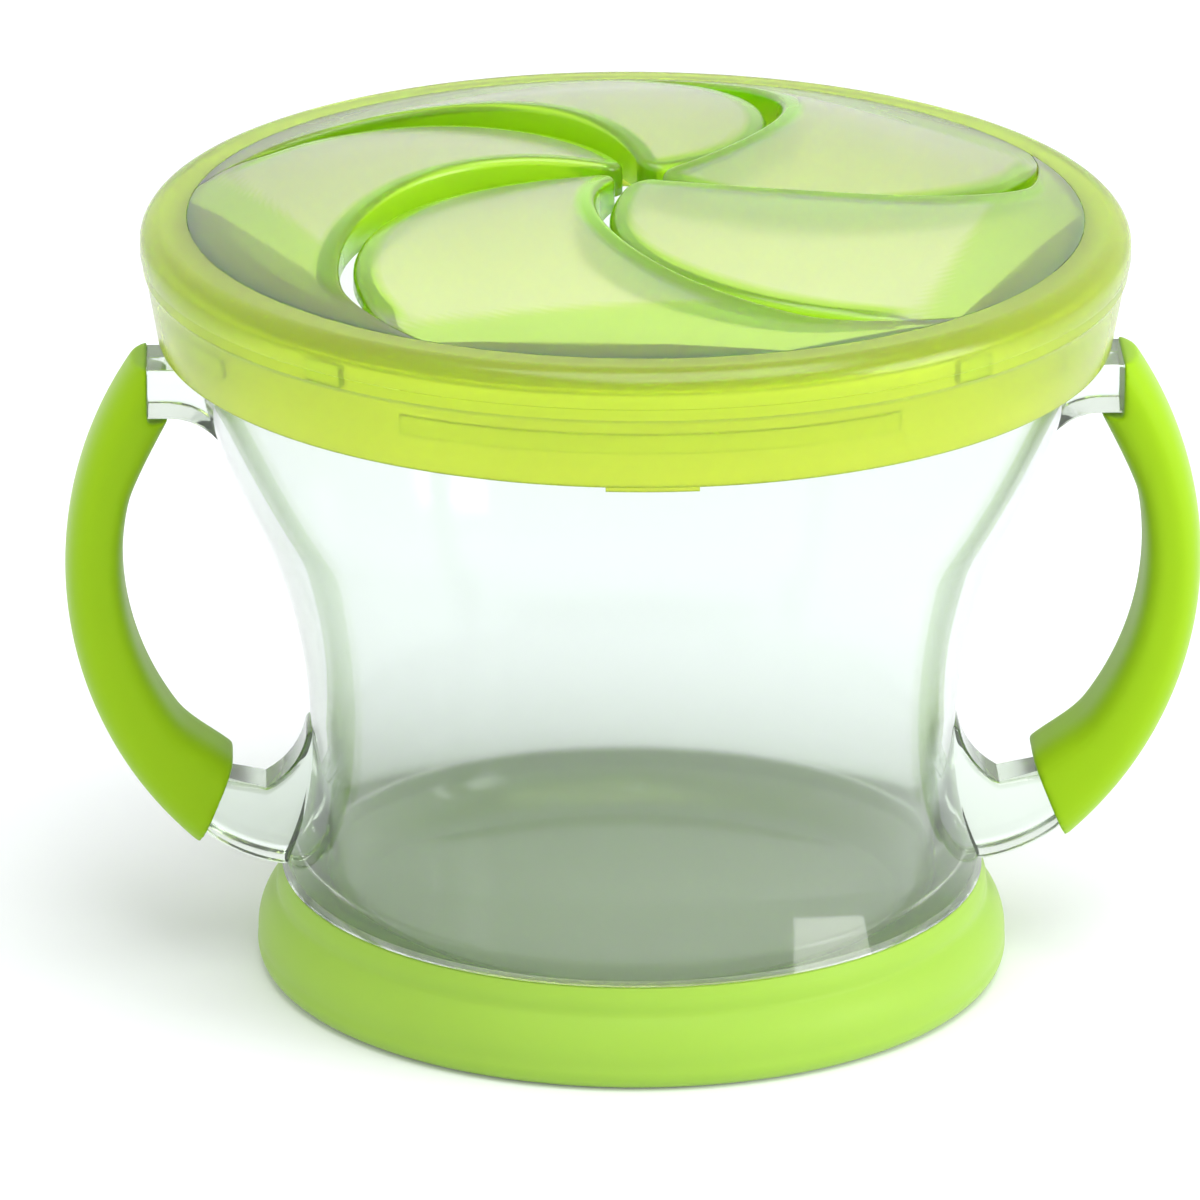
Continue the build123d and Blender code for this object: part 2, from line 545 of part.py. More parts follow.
def border_solid():
    """Soft border: a shallow cone of membrane out to the ring, open where the flaps lie."""
    slope_mid = LID_TOP_Z + WEB_RISE * 0.58
    reach = HINGE_N - 1.0
    inner_top = LID_TOP_Z + WEB_RISE * 1.08
    edge = PANEL_RADIUS - 0.05
    seat = LID_TOP_Z - SEAT_DROP
    face = make_face(
        ThreePointArc((edge, LID_TOP_Z), ((edge + HINGE_N) / 2, slope_mid), (reach, inner_top)).edges()
        + Line((reach, inner_top), (reach, inner_top - WEB_THICK)).edges()
        + ThreePointArc(
            (reach, inner_top - WEB_THICK),
            ((SEAT_RADIUS + HINGE_N) / 2, slope_mid - WEB_THICK + 0.15),
            (SEAT_RADIUS, seat + 0.25),
        ).edges()
        + Polyline((SEAT_RADIUS, seat + 0.25), (SEAT_RADIUS, seat), (edge, seat), (edge, LID_TOP_Z)).edges()
    )
    solid = spun(face)
    cut = slot_circle(0, HALF_GAP) & (Pos(HINGE_N - 3 * ARC, 0) * Rectangle(6 * ARC, 6 * ARC))
    opening = upright(cut, LID_TOP_Z - 10, LID_TOP_Z + 15)
    stop = Pos(HINGE_N + 0.1 + END_TAB / 2, HINGE_T0 + 2.1, LID_TOP_Z + 0.2) * Box(END_TAB, END_TAB, 1.5)
    for k in range(FLAPS):
        solid -= Rot(0, 0, SLOT_START + STEP / 2 + STEP * k) * opening
    for k in range(FLAPS):
        solid += Rot(0, 0, SLOT_START + STEP / 2 + STEP * k) * stop
    return solid


flap_web = border_solid()
flap = flap_solid()
flaps = [Rot(0, 0, SLOT_START + STEP / 2 + STEP * k) * flap for k in range(FLAPS)]

# ---- what the record needs to know ------------------------------------------------------------

pivot, line = hinge_frame()
for k in range(FLAPS):
    turn = math.radians(SLOT_START + STEP / 2 + STEP * k)
    px = pivot.X * math.cos(turn) - pivot.Y * math.sin(turn)
    py = pivot.X * math.sin(turn) + pivot.Y * math.cos(turn)
    ax = line.X * math.cos(turn) - line.Y * math.sin(turn)
    ay = line.X * math.sin(turn) + line.Y * math.cos(turn)
    print(f"flap_{k + 1} pivot {px:.3f} {py:.3f} {pivot.Z:.3f} axis {-ax:.5f} {-ay:.5f} {-line.Z:.5f}")

# ---- written pieces ---------------------------------------------------------------------------

export_step(cup, "parts/cup.step")
export_step(handle_left, "parts/handle_left.step")
export_step(handle_right, "parts/handle_right.step")
export_step(base_foot, "parts/base_foot.step")
export_step(grip_left, "parts/grip_left.step")
export_step(grip_right, "parts/grip_right.step")
export_step(lid_ring, "parts/lid_ring.step")
export_step(flap_web, "parts/flap_web.step")
for k in range(FLAPS):
    export_step(flaps[k], f"parts/flap_{k + 1}.step")
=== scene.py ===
import bpy
import math
from mathutils import Matrix, Vector


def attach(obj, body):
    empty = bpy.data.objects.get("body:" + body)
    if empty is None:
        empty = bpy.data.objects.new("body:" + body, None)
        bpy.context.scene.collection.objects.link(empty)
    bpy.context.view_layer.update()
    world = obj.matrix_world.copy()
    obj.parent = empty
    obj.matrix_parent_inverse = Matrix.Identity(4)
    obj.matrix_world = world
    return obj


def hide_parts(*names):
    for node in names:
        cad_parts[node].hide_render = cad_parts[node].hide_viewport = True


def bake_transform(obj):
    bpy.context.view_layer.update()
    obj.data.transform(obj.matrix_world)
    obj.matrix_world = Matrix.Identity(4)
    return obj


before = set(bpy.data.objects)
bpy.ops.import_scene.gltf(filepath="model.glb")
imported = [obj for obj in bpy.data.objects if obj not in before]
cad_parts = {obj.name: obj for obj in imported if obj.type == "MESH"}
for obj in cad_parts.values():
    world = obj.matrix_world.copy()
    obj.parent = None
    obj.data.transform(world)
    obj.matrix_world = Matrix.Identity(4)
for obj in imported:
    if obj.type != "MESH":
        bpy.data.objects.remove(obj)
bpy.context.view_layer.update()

# ---- Cup --------------------------------------------------------------------------------------
# One rigid moulding in clear plastic: a waisted cup with a bead round its rim, and two arms a side
# that carry the handles. It is turned here as a profile, and the arms are fused to its wall.

MM = 0.001                      # sizes below are in millimetres, the scene is in metres
CUP_STEPS = 192
CUP_WALL = 1.8
CUP_BOTTOM = 3.0
CUP_FLOOR = 5.0
FLOOR_RADIUS = 26.9             # flat part of the floor inside
PAD_RADIUS = 29.4               # flat part of the cup's underside
BASE_RADIUS = 36.0
RECESS_RADIUS = 34.4            # the cup's bottom edge, inside the soft foot
RECESS_HEIGHT = 8.0
LIP_HEIGHT = 10.4
INNER_LOW = (32.2, 12.2)        # where the inner wall starts to round into the floor
WAIST = (33.0, 24.0)
FLARE = (39.2, 50.0)
NECK = (46.3, 73.2)
RIM_RADIUS = 46.8
RIM_HEIGHT = 77.3
RIM_UNDER = 74.2                # lower edge of the bead round the rim
RIM_ROUND = 0.7
RIM_ROUND_INSIDE = 0.5
ARM_TOP = 65.0
ARM_UNDER = 59.8
ARM_WIDTH = 8.4
LOW_ARM_TOP = 19.3
LOW_ARM_WIDTH = 6.4
ARM_ROUND = 0.9
WALL_STEPS = 18                 # points along the long arcs of the wall
NECK_STEPS = 14
LOW_STEPS = 10
SMOOTH_BELOW = 35               # edges up to this many degrees are shaded smooth


def edit(piece):
    """Opens one piece in edit mode with all of it selected."""
    bpy.ops.object.select_all(action="DESELECT")
    bpy.context.view_layer.objects.active = piece
    piece.select_set(True)
    bpy.ops.object.mode_set(mode="EDIT")
    bpy.ops.mesh.select_all(action="SELECT")


def closed(piece):
    """Merges doubles, fills open ends, turns faces outwards and leaves edit mode with smooth shading."""
    bpy.ops.mesh.select_all(action="SELECT")
    bpy.ops.mesh.remove_doubles(threshold=0.002 * MM)
    bpy.ops.mesh.fill_holes(sides=0)
    bpy.ops.mesh.select_all(action="SELECT")
    bpy.ops.mesh.normals_make_consistent(inside=False)
    bpy.ops.object.mode_set(mode="OBJECT")
    bpy.ops.object.shade_smooth_by_angle(angle=math.radians(SMOOTH_BELOW))
    return piece


def dotted(name, points):
    """A chain of edges through points (x, y, z), left open in edit mode."""
    bpy.ops.object.select_all(action="DESELECT")
    bpy.ops.mesh.primitive_plane_add(size=MM)
    piece = bpy.context.object
    piece.name = name
    piece.data.name = name
    bpy.ops.object.mode_set(mode="EDIT")
    bpy.ops.mesh.select_all(action="SELECT")
    bpy.ops.mesh.merge(type="CENTER")
    here = Vector((0, 0, 0))
    for k, point in enumerate(points):
        step = Vector(point) * MM - here
        if k == 0:
            bpy.ops.transform.translate(value=step)
        else:
            bpy.ops.mesh.extrude_region_move(TRANSFORM_OT_translate={"value": step})
        here += step
    return piece


def turned(name, outline, steps, start=0.0):
    """A half outline of (radius, height) points, turned all the way round the container's axis."""
    turn = math.radians(start)
    piece = dotted(name, [(r * math.cos(turn), r * math.sin(turn), z) for r, z in outline])
    bpy.ops.mesh.select_all(action="SELECT")
    bpy.ops.mesh.spin(steps=steps, angle=2 * math.pi, center=(0, 0, 0), axis=(0, 0, 1))
    return closed(piece)


def plate(name, outline, width):
    """An outline in X and Z, filled and pulled out evenly to both sides along Y."""
    piece = dotted(name, [(x, -width / 2, z) for x, z in outline])
    bpy.ops.mesh.select_all(action="SELECT")
    bpy.ops.mesh.edge_face_add()
    bpy.ops.mesh.extrude_region_move(TRANSFORM_OT_translate={"value": (0, width * MM, 0)})
    return closed(piece)


def modify(piece, kind, **values):
    """Adds one modifier with the given values and applies it."""
    bpy.ops.object.select_all(action="DESELECT")
    bpy.context.view_layer.objects.active = piece
    piece.select_set(True)
    modifier = piece.modifiers.new(kind.lower(), kind)
    for key, value in values.items():
        setattr(modifier, key, value)
    bpy.ops.object.modifier_apply(modifier=modifier.name)
    return piece


def rounded(piece, width, angle):
    """Rounds every edge that is sharper than angle."""
    modify(piece, "BEVEL", width=width * MM, segments=3, limit_method="ANGLE",
           angle_limit=math.radians(angle), use_clamp_overlap=True)
    bpy.ops.object.shade_smooth_by_angle(angle=math.radians(SMOOTH_BELOW))
    return piece


def fused(piece, tool, operation="UNION"):
    """Joins tool to piece, or cuts it away, and removes tool."""
    modify(piece, "BOOLEAN", object=tool, operation=operation, solver="EXACT")
    bpy.data.objects.remove(tool)
    return piece


def copied(piece, name):
    """A copy with its own mesh."""
    twin = piece.copy()
    twin.data = piece.data.copy()
    twin.name = name
    twin.data.name = name
    bpy.context.scene.collection.objects.link(twin)
    return twin


def mirrored(piece, name):
    """A copy on the other side of the plane between the handles."""
    twin = copied(piece, name)
    edit(twin)
    bpy.ops.transform.mirror(constraint_axis=(True, False, False), center_override=(0, 0, 0))
    bpy.ops.mesh.flip_normals()
    bpy.ops.object.mode_set(mode="OBJECT")
    return twin


def bend(start, end, heading, steps):
    """Points after start on the arc that leaves it in the direction heading and ends at end."""
    dx = end[0] - start[0]
    dz = end[1] - start[1]
    away = math.atan2(heading[1], heading[0])
    half = (math.atan2(dz, dx) - away + math.pi) % (2 * math.pi) - math.pi
    radius = math.hypot(dx, dz) / (2 * math.sin(half))
    points = []
    for k in range(1, steps + 1):
        turn = half * k / steps
        chord = 2 * radius * math.sin(turn)
        points.append((start[0] + chord * math.cos(away + turn),
                       start[1] + chord * math.sin(away + turn)))
    return points


# The wall is two joined arcs from the waist up, which lean out by these angles where they end.
wall_radius = (WAIST[0] - FLARE[0]) ** 2 + (FLARE[1] - WAIST[1]) ** 2
wall_radius /= 2 * (FLARE[0] - WAIST[0])
lean_flare = math.asin((FLARE[1] - WAIST[1]) / wall_radius)
lean_neck = 2 * math.atan2(NECK[0] - FLARE[0], NECK[1] - FLARE[1]) - lean_flare


def inward(point, lean):
    """The point one wall thickness inside the wall."""
    return (point[0] - CUP_WALL * math.cos(lean), point[1] + CUP_WALL * math.sin(lean))


inner_neck = inward(NECK, lean_neck)
inner_flare = inward(FLARE, lean_flare)
inner_waist = (WAIST[0] - CUP_WALL, WAIST[1])
cup_outline = [(0, CUP_BOTTOM), (PAD_RADIUS, CUP_BOTTOM), (RECESS_RADIUS, RECESS_HEIGHT)]
cup_outline += [(RECESS_RADIUS, LIP_HEIGHT), (BASE_RADIUS, LIP_HEIGHT)]
low_wall = bend(WAIST, (BASE_RADIUS, LIP_HEIGHT), (0, -1), LOW_STEPS)
cup_outline += low_wall[-2::-1] + [WAIST]
cup_outline += bend(WAIST, FLARE, (0, 1), WALL_STEPS)
cup_outline += bend(FLARE, NECK, (math.sin(lean_flare), math.cos(lean_flare)), NECK_STEPS)
cup_outline += [(RIM_RADIUS, RIM_UNDER), (RIM_RADIUS, RIM_HEIGHT - RIM_ROUND)]
cup_outline += bend(cup_outline[-1], (RIM_RADIUS - RIM_ROUND, RIM_HEIGHT), (0, 1), 4)
cup_outline += [(RIM_RADIUS - CUP_WALL + RIM_ROUND_INSIDE, RIM_HEIGHT)]
cup_outline += bend(cup_outline[-1], (RIM_RADIUS - CUP_WALL, RIM_HEIGHT - RIM_ROUND_INSIDE), (-1, 0), 4)
cup_outline += [inner_neck]
upper_inner = bend(inner_flare, inner_neck, (math.sin(lean_flare), math.cos(lean_flare)), NECK_STEPS)
cup_outline += upper_inner[-2::-1] + [inner_flare]
lower_inner = bend(inner_waist, inner_flare, (0, 1), WALL_STEPS)
cup_outline += lower_inner[-2::-1] + [inner_waist]
cup_outline += bend(inner_waist, INNER_LOW, (0, -1), 8)
cup_outline += bend(INNER_LOW, (FLOOR_RADIUS, CUP_FLOOR), (0.17, -1), LOW_STEPS)
cup_outline += [(0, CUP_FLOOR)]
cup = turned("clear_cup", cup_outline, CUP_STEPS)

# the arms' outlines are (x, height) points; a small gusset fills the corner above each lower arm
upper_arm_outline = [(43.0, ARM_TOP), (49.4, ARM_TOP), (50.3, 63.6), (51.2, 61.5), (51.4, ARM_UNDER)]
upper_arm_outline += [(47.2, ARM_UNDER)]
upper_arm_outline += bend((47.2, ARM_UNDER), (41.6, 56.4), (-1, 0), 6)
lower_arm_outline = [(32.2, 25.6), (33.4, 25.6)]
lower_arm_outline += bend((33.4, 25.6), (37.6, LOW_ARM_TOP), (0.12, -1), 8)
lower_arm_outline += [(44.5, 20.6), (46.5, 17.0), (43.6, 14.2)]
lower_arm_outline += bend((43.6, 14.2), (36.2, 11.0), (-0.8, -0.6), 6)
lower_arm_outline += [(33.8, 11.0)]
for outline, width in ((upper_arm_outline, ARM_WIDTH), (lower_arm_outline, LOW_ARM_WIDTH)):
    arm = rounded(plate("arm", outline, width), ARM_ROUND, 60)
    other_arm = mirrored(arm, "other_arm")
    fused(cup, arm)
    fused(cup, other_arm)
bpy.ops.object.shade_smooth_by_angle(angle=math.radians(SMOOTH_BELOW))

PLASTIC_IOR = 1.49

clear_plastic = bpy.data.materials.new("clear_plastic")
clear_plastic.use_nodes = True
nodes = clear_plastic.node_tree.nodes
links = clear_plastic.node_tree.links
surface = nodes["Principled BSDF"]
surface.inputs["Base Color"].default_value = (0.93, 0.955, 0.955, 1)
surface.inputs["Transmission Weight"].default_value = 0.93
surface.inputs["IOR"].default_value = PLASTIC_IOR
surface.inputs["Roughness"].default_value = 0.07
tint = nodes.new("ShaderNodeVolumeAbsorption")
tint.inputs["Color"].default_value = (0.80, 0.97, 0.70, 1)
tint.inputs["Density"].default_value = 40
links.new(tint.outputs["Volume"], nodes["Material Output"].inputs["Volume"])


def finish(piece, material, body, slot, *replaced):
    """Gives a new piece its material and its body, and hides the CAD nodes it stands for; slot is not
    used.
    """
    piece.data.materials.clear()
    piece.data.materials.append(material)
    if body:
        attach(piece, body)
    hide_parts(*replaced)


finish(cup, clear_plastic, "cup", "clear_plastic", "cup", "handle_left", "handle_right")

# ---- Soft foot --------------------------------------------------------------------------------
# A thick ring and pad of soft green material moulded round the cup's bottom edge. It has a round
# bulge on which the container stands, a crease above it and a narrow lip against the wall.

BITE = 0.05                     # how far soft pieces reach into the clear one, as one moulding does

foot_outline = [(0, 0.8), (30.2, 0.8), (31.0, 0), (37.0, 0)]
foot_outline += bend((37.0, 0), (38.45, 2.6), (1, 0.25), 8)
foot_outline += bend((38.45, 2.6), (36.75, 7.3), (0.12, 1), 12)
foot_outline += bend((36.75, 7.3), (36.55, 7.9), (-0.6, 0.8), 4)
foot_outline += bend((36.55, 7.9), (36.1, 9.9), (0.1, 1), 6)
foot_outline += bend((36.1, 9.9), (35.6, 10.4), (-0.2, 1), 4)
foot_outline += [(RECESS_RADIUS - BITE, LIP_HEIGHT), (RECESS_RADIUS - BITE, RECESS_HEIGHT)]
foot_outline += [(PAD_RADIUS - BITE, CUP_BOTTOM + BITE), (0, CUP_BOTTOM + BITE)]
foot = turned("soft_foot", foot_outline, CUP_STEPS)

COLOR_A, COLOR_B, COLOR_MIXED = 6, 7, 2     # a Mix node's sockets for colour


def soft_plastic(name, color, shade, roughness):
    """Soft moulded green: fine grain, slight mottling of colour and a little light inside."""
    material = bpy.data.materials.new(name)
    material.use_nodes = True
    tree = material.node_tree
    surface = tree.nodes["Principled BSDF"]
    place = tree.nodes.new("ShaderNodeTexCoord")
    cloud = tree.nodes.new("ShaderNodeTexNoise")
    cloud.inputs["Scale"].default_value = 60
    cloud.inputs["Detail"].default_value = 3
    tree.links.new(place.outputs["Object"], cloud.inputs["Vector"])
    blend = tree.nodes.new("ShaderNodeMix")
    blend.data_type = "RGBA"
    blend.inputs[COLOR_A].default_value = (*color, 1)
    blend.inputs[COLOR_B].default_value = (*shade, 1)
    tree.links.new(cloud.outputs["Fac"], blend.inputs[0])
    tree.links.new(blend.outputs[COLOR_MIXED], surface.inputs["Base Color"])
    grain = tree.nodes.new("ShaderNodeTexNoise")
    grain.inputs["Scale"].default_value = 2600
    grain.inputs["Detail"].default_value = 2
    tree.links.new(place.outputs["Object"], grain.inputs["Vector"])
    bump = tree.nodes.new("ShaderNodeBump")
    bump.inputs["Strength"].default_value = 0.06
    bump.inputs["Distance"].default_value = 0.0001
    tree.links.new(grain.outputs["Fac"], bump.inputs["Height"])
    tree.links.new(bump.outputs["Normal"], surface.inputs["Normal"])
    surface.inputs["Roughness"].default_value = roughness
    surface.inputs["Specular IOR Level"].default_value = 0.15
    surface.inputs["Sheen Weight"].default_value = 0.25
    surface.inputs["Sheen Roughness"].default_value = 0.4
    surface.inputs["Subsurface Weight"].default_value = 0.25
    surface.inputs["Subsurface Radius"].default_value = (0.6, 1.0, 0.1)
    surface.inputs["Subsurface Scale"].default_value = 0.0015
    return material


# painted light: the foot is the same soft green as the grips, made paler here because it faces the lamps
lit_foot_plastic = soft_plastic("soft_foot_plastic", (0.37, 0.60, 0.075), (0.34, 0.56, 0.065), 0.45)
finish(foot, lit_foot_plastic, "cup", "soft_foot", "base_foot")

# ---- Soft grips -------------------------------------------------------------------------------
# A soft green sleeve moulded over each handle's bar. Its outer side is rounder than its inner one,
# the top ends upright against the arm with a pointed lip below it, and the lower end flares a little.

OUT_ARC = (18.04, 42.76, 39.9)  # centre and radius of the outer arc
IN_ARC = (22.8, 43.92, 29.24)   # and of the inner arc
GRIP_WIDTH = 10.6
GRIP_ROWS = 90
GRIP_COLUMNS = 56
GRIP_CAP = 0.03                 # share of the rows that rounds each end
GRIP_ROUND = 1.6
GRIP_FLARE = (-1.3, 0.3)        # how far the inner side moves at the flared lower end
GRIP_LIP = (-2.4, 3.6)          # and at the pointed lip
GRIP_END_X = 49.4               # upright end against the upper arm
GRIP_END_UNDER = (59.6, 59.4)   # height of the notch under it, inside and at the grip
GRIP_TOP = 65.2
GRIP_GRAIN = 0.3
PAST = 80                       # beyond the grip, for the pieces that trim it


def formed(name, columns, rows, place):
    """A grid whose vertices are each put in place: place(column, row) gives a point in millimetres."""
    bpy.ops.object.select_all(action="DESELECT")
    bpy.ops.mesh.primitive_grid_add(x_subdivisions=columns, y_subdivisions=rows, size=1)
    piece = bpy.context.object
    piece.name = name
    piece.data.name = name
    for vertex in piece.data.vertices:
        column = round((vertex.co.x + 0.5) * columns)
        row = round((vertex.co.y + 0.5) * rows)
        vertex.co = Vector(place(column, row)) * MM
    edit(piece)
    return closed(piece)


def rise(x, low, high):
    """Smooth step from 0 at low to 1 at high."""
    t = min(max((x - low) / (high - low), 0), 1)
    return t * t * (3 - 2 * t)


def arc_at(arc, degrees):
    """The point at an angle on an arc given by centre and radius."""
    turn = math.radians(degrees)
    return Vector((arc[0] + arc[2] * math.cos(turn), arc[1] + arc[2] * math.sin(turn)))


def grip_point(column, row):
    """Skin of the right grip: rows run up it, columns round it."""
    t = row / GRIP_ROWS
    along = min(max((t - GRIP_CAP) / (1 - 2 * GRIP_CAP), 0), 1)
    out = arc_at(OUT_ARC, -48.3 + along * 94)
    into = arc_at(IN_ARC, -48.6 + along * 80)
    flare = 1 - rise(along, 0, 0.16)
    lip = rise(along, 0.76, 0.94)
    into += Vector((GRIP_FLARE[0] * flare + GRIP_LIP[0] * lip, GRIP_FLARE[1] * flare + GRIP_LIP[1] * lip))
    shut = min(t, 1 - t) / GRIP_CAP
    cut = 0 if shut >= 1 else GRIP_ROUND * (1 - math.sqrt(max(1 - (1 - shut) ** 2, 0)))
    half_depth = max((out - into).length / 2 - cut, 0) if shut > 0 else 0
    half_width = max(GRIP_WIDTH / 2 - cut, 0) if shut > 0 else 0
    turn = 2 * math.pi * column / GRIP_COLUMNS
    c = math.cos(turn)
    s = math.sin(turn)
    power = 2 / 2.5 if c > 0 else 2 / 3.6       # rounder outside, squarer inside
    x = half_depth * math.copysign(abs(c) ** power, c)
    y = half_width * math.copysign(abs(s) ** power, s)
    spot = (out + into) / 2 + (out - into).normalized() * x
    return (spot.x, y, spot.y)


grip_right = formed("right_grip", GRIP_COLUMNS, GRIP_ROWS, grip_point)
notch_outline = [(30, GRIP_END_UNDER[0]), (30, PAST), (GRIP_END_X, PAST), (GRIP_END_X, GRIP_END_UNDER[1])]
notch = plate("notch", notch_outline, 30)
fused(grip_right, notch, "DIFFERENCE")
top_cut = plate("top_cut", [(40, GRIP_TOP), (40, PAST), (60, PAST), (60, GRIP_TOP)], 30)
fused(grip_right, top_cut, "DIFFERENCE")
modify(grip_right, "REMESH", mode="VOXEL", voxel_size=GRIP_GRAIN * MM)
modify(grip_right, "SMOOTH", factor=0.5, iterations=8)
edit(grip_right)
bpy.ops.mesh.faces_shade_smooth()
bpy.ops.object.mode_set(mode="OBJECT")
grip_left = mirrored(grip_right, "left_grip")
# painted shade: the grips get a darker, more saturated copy of the foot's soft green
shaded_grip_plastic = soft_plastic("soft_grip_plastic", (0.33, 0.57, 0.004), (0.30, 0.53, 0.003), 0.5)
finish(grip_right, shaded_grip_plastic, "cup", "soft_grip", "grip_right")
finish(grip_left, shaded_grip_plastic, "cup", "soft_grip", "grip_left")

# ---- Lid ring ---------------------------------------------------------------------------------
# The rigid part of the lid, in translucent green: a flat rim, a rounded shoulder, a skirt down over
# the cup's rim with snap beads, four short ribs inside it and a pull tab under it.

RING_STEPS = 360
BEAD_LOW = 71.2
BEAD_HIGH = 73.2
BEAD_SPAN = 30.5                # degrees either way of front, back, left and right
RIB_SPAN = (38.5, 43.5)         # degrees from front and from back
RIB_LOW = 74.7
RIB_HIGH = 77.0
BEAD_RADIUS = 47.25             # the beads and ribs reach in this far
SKIRT_FOOT = 67.6
TAB_HALF = 4.25
TAB_DROP = 0.45

# (radius, height) points from the opening over the shoulder, down the skirt and back up inside
ring_outline = [(45.3, 80.0), (47.6, 80.0)]
ring_outline += bend((47.6, 80.0), (50.0, 77.9), (1, 0), 8)
ring_outline += [(50.0, 76.5)]
ring_outline += bend((50.0, 76.5), (49.75, 76.2), (0, -1), 2)
ring_outline += [(49.75, 75.1), (49.55, 74.85), (49.45, 74.5)]
ring_outline += [(48.35, 68.0)]
ring_outline += bend((48.35, 68.0), (47.95, SKIRT_FOOT), (-0.1, -1), 4)
ring_outline += [(47.4, SKIRT_FOOT)]
ring_outline += bend((47.4, SKIRT_FOOT), (47.15, 67.9), (-1, 0), 3)
ring_outline += [(48.2, RIB_LOW), (48.2, RIB_HIGH)]
ring_outline += bend((48.2, RIB_HIGH), (47.6, 77.6), (0, 1), 4)
ring_outline += [(44.7, 77.6), (44.7, 76.4), (44.3, 76.2), (44.3, 78.8), (45.3, 78.8), (45.3, 80.0)]
ring = turned("lid_shell", ring_outline, RING_STEPS, 0.5)


def grow(piece, chosen, move):
    """Pulls the chosen faces out by moving each of their points with move."""
    edit(piece)
    bpy.ops.mesh.select_mode(type="FACE")
    bpy.ops.mesh.select_all(action="DESELECT")
    bpy.ops.object.mode_set(mode="OBJECT")
    for face in piece.data.polygons:
        face.select = chosen(face)
    bpy.ops.object.mode_set(mode="EDIT")
    bpy.ops.mesh.extrude_region_move(TRANSFORM_OT_translate={"value": (0, 0, 0)})
    bpy.ops.object.mode_set(mode="OBJECT")
    for vertex in piece.data.vertices:
        if vertex.select:
            vertex.co = move(vertex.co)
    edit(piece)
    bpy.ops.mesh.select_mode(type="VERT")
    bpy.ops.object.mode_set(mode="OBJECT")


def quarter_angle(point):
    """Degrees between a point's direction and the nearest of front, back, left and right."""
    turn = math.degrees(math.atan2(point.y, point.x))
    return abs((turn + 45) % 90 - 45)


def front_angle(point):
    """Degrees between a point's direction and the nearer of front and back."""
    turn = math.degrees(math.atan2(point.y, point.x))
    return abs(turn % 180 - 90)


def inner_wall(face):
    """Whether a face of the ring is on the inside of its skirt."""
    radius = math.hypot(face.center.x, face.center.y) / MM
    outward = face.normal.x * face.center.x + face.normal.y * face.center.y
    return 47.0 < radius < 48.3 and outward < 0 and face.center.z > 68 * MM


def drawn_in(co):
    """The point moved along its radius to where beads and ribs end."""
    return Vector((co.x, co.y, 0)).normalized() * BEAD_RADIUS * MM + Vector((0, 0, co.z))


# cuts round the skirt bound the snap beads, which thicken it over four long stretches
edit(ring)
bpy.ops.mesh.bisect(plane_co=(0, 0, BEAD_LOW * MM), plane_no=(0, 0, 1))
bpy.ops.mesh.select_all(action="SELECT")
bpy.ops.mesh.bisect(plane_co=(0, 0, BEAD_HIGH * MM), plane_no=(0, 0, 1))
bpy.ops.object.mode_set(mode="OBJECT")
grow(
    ring,
    lambda f: inner_wall(f) and BEAD_LOW < f.center.z / MM < BEAD_HIGH
    and quarter_angle(f.center) < BEAD_SPAN,
    drawn_in,
)
grow(
    ring,
    lambda f: inner_wall(f) and RIB_LOW < f.center.z / MM < RIB_HIGH
    and RIB_SPAN[0] < front_angle(f.center) < RIB_SPAN[1],
    drawn_in,
)
grow(
    ring,
    lambda f: f.center.z < (SKIRT_FOOT + 0.02) * MM and abs(f.center.x) < TAB_HALF * MM and f.center.y < 0,
    lambda co: co - Vector((0, 0, TAB_DROP * MM)),
)
edit(ring)
closed(ring)


def green_plastic(name, roughness, density, tone, clear, milk):
    """Translucent green: the clear share is tinted by its body, the rest scatters light as milk does."""
    material = bpy.data.materials.new(name)
    material.use_nodes = True
    tree = material.node_tree
    surface = tree.nodes["Principled BSDF"]
    surface.inputs["Base Color"].default_value = (*milk, 1)
    surface.inputs["Transmission Weight"].default_value = clear
    surface.inputs["Subsurface Weight"].default_value = 1
    surface.inputs["Subsurface Radius"].default_value = (1.0, 1.2, 0.25)
    surface.inputs["Subsurface Scale"].default_value = 0.003
    surface.inputs["IOR"].default_value = PLASTIC_IOR
    surface.inputs["Specular IOR Level"].default_value = 0.3
    surface.inputs["Roughness"].default_value = roughness
    tint = tree.nodes.new("ShaderNodeVolumeAbsorption")
    tint.inputs["Color"].default_value = (*tone, 1)
    tint.inputs["Density"].default_value = density
    tree.links.new(tint.outputs["Volume"], tree.nodes["Material Output"].inputs["Volume"])
    return material


ring_plastic = green_plastic("lid_ring_plastic", 0.22, 600, (0.90, 0.995, 0), 0.80, (0.80, 0.90, 0.07))
finish(ring, ring_plastic, "lid", "lid_plastic", "lid_ring")

# ---- Swirled flaps ----------------------------------------------------------------------------
# Five soft translucent flaps moulded in one with the border that holds them in the ring. Curved
# slots part them; each flap is a thin crowned membrane with a thicker wall turned down at each slot.

FLAPS = 5
STEP = 360 / FLAPS
SLOT_START = 19.0               # direction of the first slot's outer end
SLOT_END = 44.0                 # distance of the slots' outer ends from the middle
SLOT_LEAN = 70.0
ARC = SLOT_END / (2 * math.sin(math.radians(SLOT_LEAN)))
SLOT_GAP = 1.4
TIP_ROUND = 2.1
WALL_LOW = 1.8                  # wall at the flap's lower edge
WALL_HIGH = 2.1                 # wall at its higher edge
WALL_OUTER = 0.8                # both walls at the slots' outer ends
MEMBRANE = 1.0
HINGE = 35.6                    # distance of the bending line from the middle
PANEL_RADIUS = 45.25
CROWN_TOP = 86.0
CROWN_AT = (14.4, 4.1)          # where the flap is highest, outwards and along the bending line
CROWN_FALL = (132.8, 300)       # the larger, the flatter
RING_TOP = 80.0
RING_OPENING = 45.3
BORDER_RISE = 2.6               # from the ring's opening in to the bending line
WALL_FOOT = 81.2                # lower end of the walls at the middle
WALL_FOOT_FALL = 1.8            # and how much lower it is at the slots' outer ends
SHUT = 0.02                     # width that stands for none
